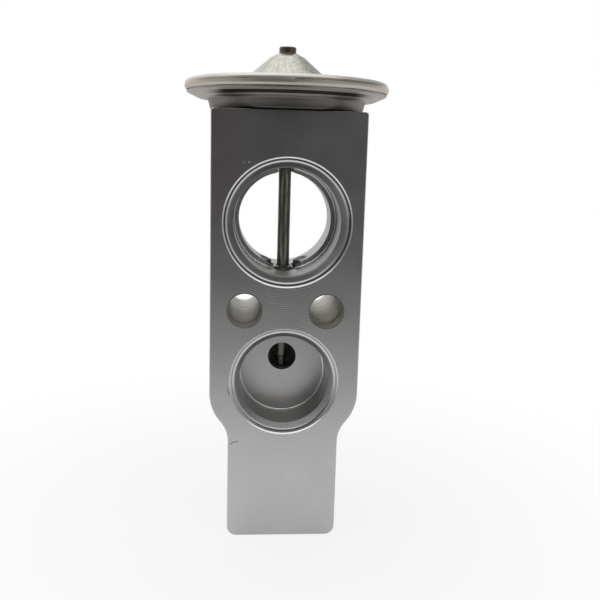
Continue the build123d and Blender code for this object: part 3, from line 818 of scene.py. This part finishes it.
def washer_sector():
    """One tooth and its share of the dished washer, open where it meets its neighbours."""
    angles = [*WASHER_LEFT_ANGLES, *(-angle for angle in reversed(WASHER_LEFT_ANGLES[:-1]))]
    points = []
    faces = []
    place = {}

    def corner(radius, angle, above):
        key = (radius, angle, above)
        if key not in place:
            turn = math.radians(angle)
            height = washer_height(radius) + (WASHER_SHEET if above else 0.0)
            place[key] = len(points)
            points.append((radius * math.cos(turn) * MM, radius * math.sin(turn) * MM, height * MM))
        return place[key]

    def wall(first, second):
        lower = [corner(*first, False), corner(*second, False)]
        faces.append([*lower, corner(*second, True), corner(*first, True)])

    for low, high in zip(angles, angles[1:]):
        tooth = max(abs(low), abs(high)) <= WASHER_TOOTH_ANGLE
        radii = WASHER_RING_RADII + WASHER_TOOTH_RADII if tooth else WASHER_RING_RADII
        for inner, outer in zip(radii, radii[1:]):
            quad = ((inner, low), (outer, low), (outer, high), (inner, high))
            faces.append([corner(*point, True) for point in quad])
            faces.append([corner(*point, False) for point in reversed(quad)])
            if tooth and inner >= WASHER_ROOT_R and low == -WASHER_TOOTH_ANGLE:
                wall((inner, low), (outer, low))
            if tooth and inner >= WASHER_ROOT_R and high == WASHER_TOOTH_ANGLE:
                wall((outer, high), (inner, high))
        wall((radii[-1], low), (radii[-1], high))
        wall((WASHER_HOLE_R, high), (WASHER_HOLE_R, low))
    mesh = bpy.data.meshes.new("washer_sector")
    mesh.from_pydata(points, [], faces)
    return mesh


def repeated_round(piece, count, dress):
    """Repeats the piece's mesh evenly round Z with a node tree, and leaves a plain mesh."""
    tree = bpy.data.node_groups.new(piece.name + "_repeat", "GeometryNodeTree")
    tree.interface.new_socket("Sector", in_out="INPUT", socket_type="NodeSocketGeometry")
    number = tree.interface.new_socket("Count", in_out="INPUT", socket_type="NodeSocketInt")
    tree.interface.new_socket("Ring", in_out="OUTPUT", socket_type="NodeSocketGeometry")
    nodes = Finish(tree)
    inputs = nodes.node("NodeGroupInput")
    sector, total = [Value(nodes, inputs.outputs[name]) for name in ("Sector", "Count")]
    turn = nodes.add("GeometryNodeInputIndex") * FULL_TURN / total
    places = nodes.add("GeometryNodePoints", (), {"Count": total})
    placing = {"Points": places, "Instance": sector, "Rotation": nodes.joined(0.0, 0.0, turn)}
    copies = nodes.add("GeometryNodeInstanceOnPoints", (), placing)
    whole = nodes.add("GeometryNodeRealizeInstances", (), {"Geometry": copies})
    merging = {"Geometry": whole, "Distance": WASHER_MERGE * MM}
    closed = nodes.add("GeometryNodeMergeByDistance", (), merging)
    dressing = {"Geometry": closed, "Material": dress}
    dressed = nodes.add("GeometryNodeSetMaterial", (), dressing)
    nodes.node("NodeGroupOutput", (), {"Ring": dressed})
    modifier = piece.modifiers.new("repeat", "NODES")
    modifier.node_group = tree
    modifier[number.identifier] = count
    depsgraph = bpy.context.evaluated_depsgraph_get()
    mesh = bpy.data.meshes.new_from_object(piece.evaluated_get(depsgraph))
    piece.modifiers.clear()
    piece.data = mesh


def toothed_washer():
    """Push-in washer that holds the rod seal, dished up round the rod."""
    piece = new_object("toothed_washer", washer_sector())
    dress = plain_finish("washer_steel", grey(0.20), grey(0.38), metallic=1.0, roughness=0.25)
    repeated_round(piece, WASHER_TEETH, dress)
    piece.data.shade_smooth()
    piece.data.set_sharp_from_angle(angle=math.radians(WASHER_SHARP_ANGLE))
    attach(piece, "housing")
    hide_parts("seal_retainer")


def bending_copy(node, name):
    """Copy of an inner part, with its doubled corners joined, that stands in for the hidden part.
    """
    piece = new_object(name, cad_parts[node].data.copy())
    mesh = bmesh.new()
    mesh.from_mesh(piece.data)
    bmesh.ops.remove_doubles(mesh, verts=mesh.verts, dist=COPY_MERGE * MM)
    mesh.to_mesh(piece.data)
    mesh.free()
    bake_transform(piece)
    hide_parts(node)
    return piece


def bending_parts():
    """The diaphragm, clamped at its rim, and the coil spring, which the adjusting screw presses."""
    disc = bending_copy("diaphragm", "waved_diaphragm")
    coil = bending_copy("superheat_spring", "coil_spring")


def floor():
    """White floor that reads as the photograph's white and keeps a soft shadow by the object."""
    half = FLOOR_HALF * MM
    front = -FLOOR_FRONT * MM
    level = FLOOR_LEVEL * MM
    outline = ((-half, front), (half, front), (half, half), (-half, half))
    mesh = bpy.data.meshes.new("floor")
    mesh.from_pydata([(*corner, level) for corner in outline], [], [(0, 1, 2, 3)])
    made, finish, shader = material("floor_white", Roughness=FLOOR_ROUGHNESS)
    x, y = finish.parts(finish.place())[:2]
    near = finish.step(radius_from(finish, x, y), *FLOOR_NEAR_R)
    dimmer = finish.step(y, *FLOOR_DIM_Y)
    finish.join(finish.blend(dimmer, FLOOR_WHITE, FLOOR_DIM), shader.inputs["Base Color"])
    seen = finish.add("ShaderNodeLightPath", output="Is Camera Ray")
    mirrored = finish.add("ShaderNodeLightPath", output="Is Glossy Ray")
    share = seen * (1 - FLOOR_SHADOW * near) + mirrored * (1 - dimmer) * FLOOR_MIRRORED
    glow = finish.add("ShaderNodeEmission", (), {"Color": grey(1.0), "Strength": 1.0})
    surface = Value(finish, shader.outputs[0])
    mixed = finish.add("ShaderNodeMixShader", (), {0: share, 1: surface, 2: glow})
    finish.join(mixed, made.node_tree.nodes["Material Output"].inputs["Surface"])
    mesh.materials.append(made)
    new_object("floor", mesh)


def tent():
    """World: white to the camera, a light tent with a dark opening in front to all else."""
    world = bpy.data.worlds.new("tent")
    world.use_nodes = True
    bpy.context.scene.world = world
    finish = Finish(world.node_tree)
    x, y, z = finish.parts(finish.add("ShaderNodeTexCoord", output="Generated"))
    walls = finish.between(finish.step(y, *TENT_BEHIND_Y), TENT_SIDE, TENT_BACK)
    walls = finish.between(finish.step(z, *TENT_ABOVE_Z), walls, TENT_TOP)
    screen = finish.step(x + SCREEN_LEAN * y, *SCREEN_ACROSS) * finish.step(z, *SCREEN_Z)
    walls = walls * (1 - SCREEN_TAKES * screen)
    opening = finish.step(abs(x + OPENING_SHIFT), *OPENING_X)
    opening = opening * finish.step(y, *OPENING_Y) * finish.step(z, *OPENING_Z)
    seen = finish.add("ShaderNodeLightPath", output="Is Camera Ray")
    shown = finish.between(seen, finish.between(opening, walls, OPENING_LEVEL), 1.0)
    background = world.node_tree.nodes["Background"]
    finish.join(finish.joined(shown, shown, shown), background.inputs["Color"])


def overhead_lamp():
    """Large soft lamp above, pointed at the block's middle."""
    lamp = bpy.data.lights.new("overhead", "AREA")
    lamp.size = LAMP_SIZE * MM
    lamp.energy = LAMP_POWER
    holder = new_object("overhead", lamp)
    place = Vector(LAMP_PLACE) * MM
    towards = Vector(LAMP_TARGET) * MM - place
    holder.location = place
    holder.rotation_euler = towards.to_track_quat("-Z", "Y").to_euler()


def camera():
    """Camera that sees the object as the photograph's did."""
    view = bpy.data.cameras.new("camera")
    view.sensor_width = SENSOR
    view.lens = FOCAL_PIXELS / IMAGE_PIXELS * SENSOR
    view.clip_start = CAMERA_CLIP_START_M
    holder = new_object("camera", view)
    turn = Matrix.Rotation(math.radians(CAMERA_YAW), 3, "Z")
    turn = turn @ Matrix.Rotation(math.radians(CAMERA_PITCH), 3, "X")
    turn = turn @ Matrix.Rotation(math.radians(CAMERA_ROLL), 3, "Y")
    right, forward, up = turn.col[0], turn.col[1], turn.col[2]
    matrix = Matrix((right, up, -forward)).transposed().to_4x4()
    matrix.translation = Vector(CAMERA_PLACE) * MM
    holder.matrix_world = matrix
    bpy.context.scene.camera = holder


dress_nodes()
toothed_washer()
bending_parts()
floor()
tent()
overhead_lamp()
camera()
bpy.context.scene.view_settings.view_transform = "Standard"
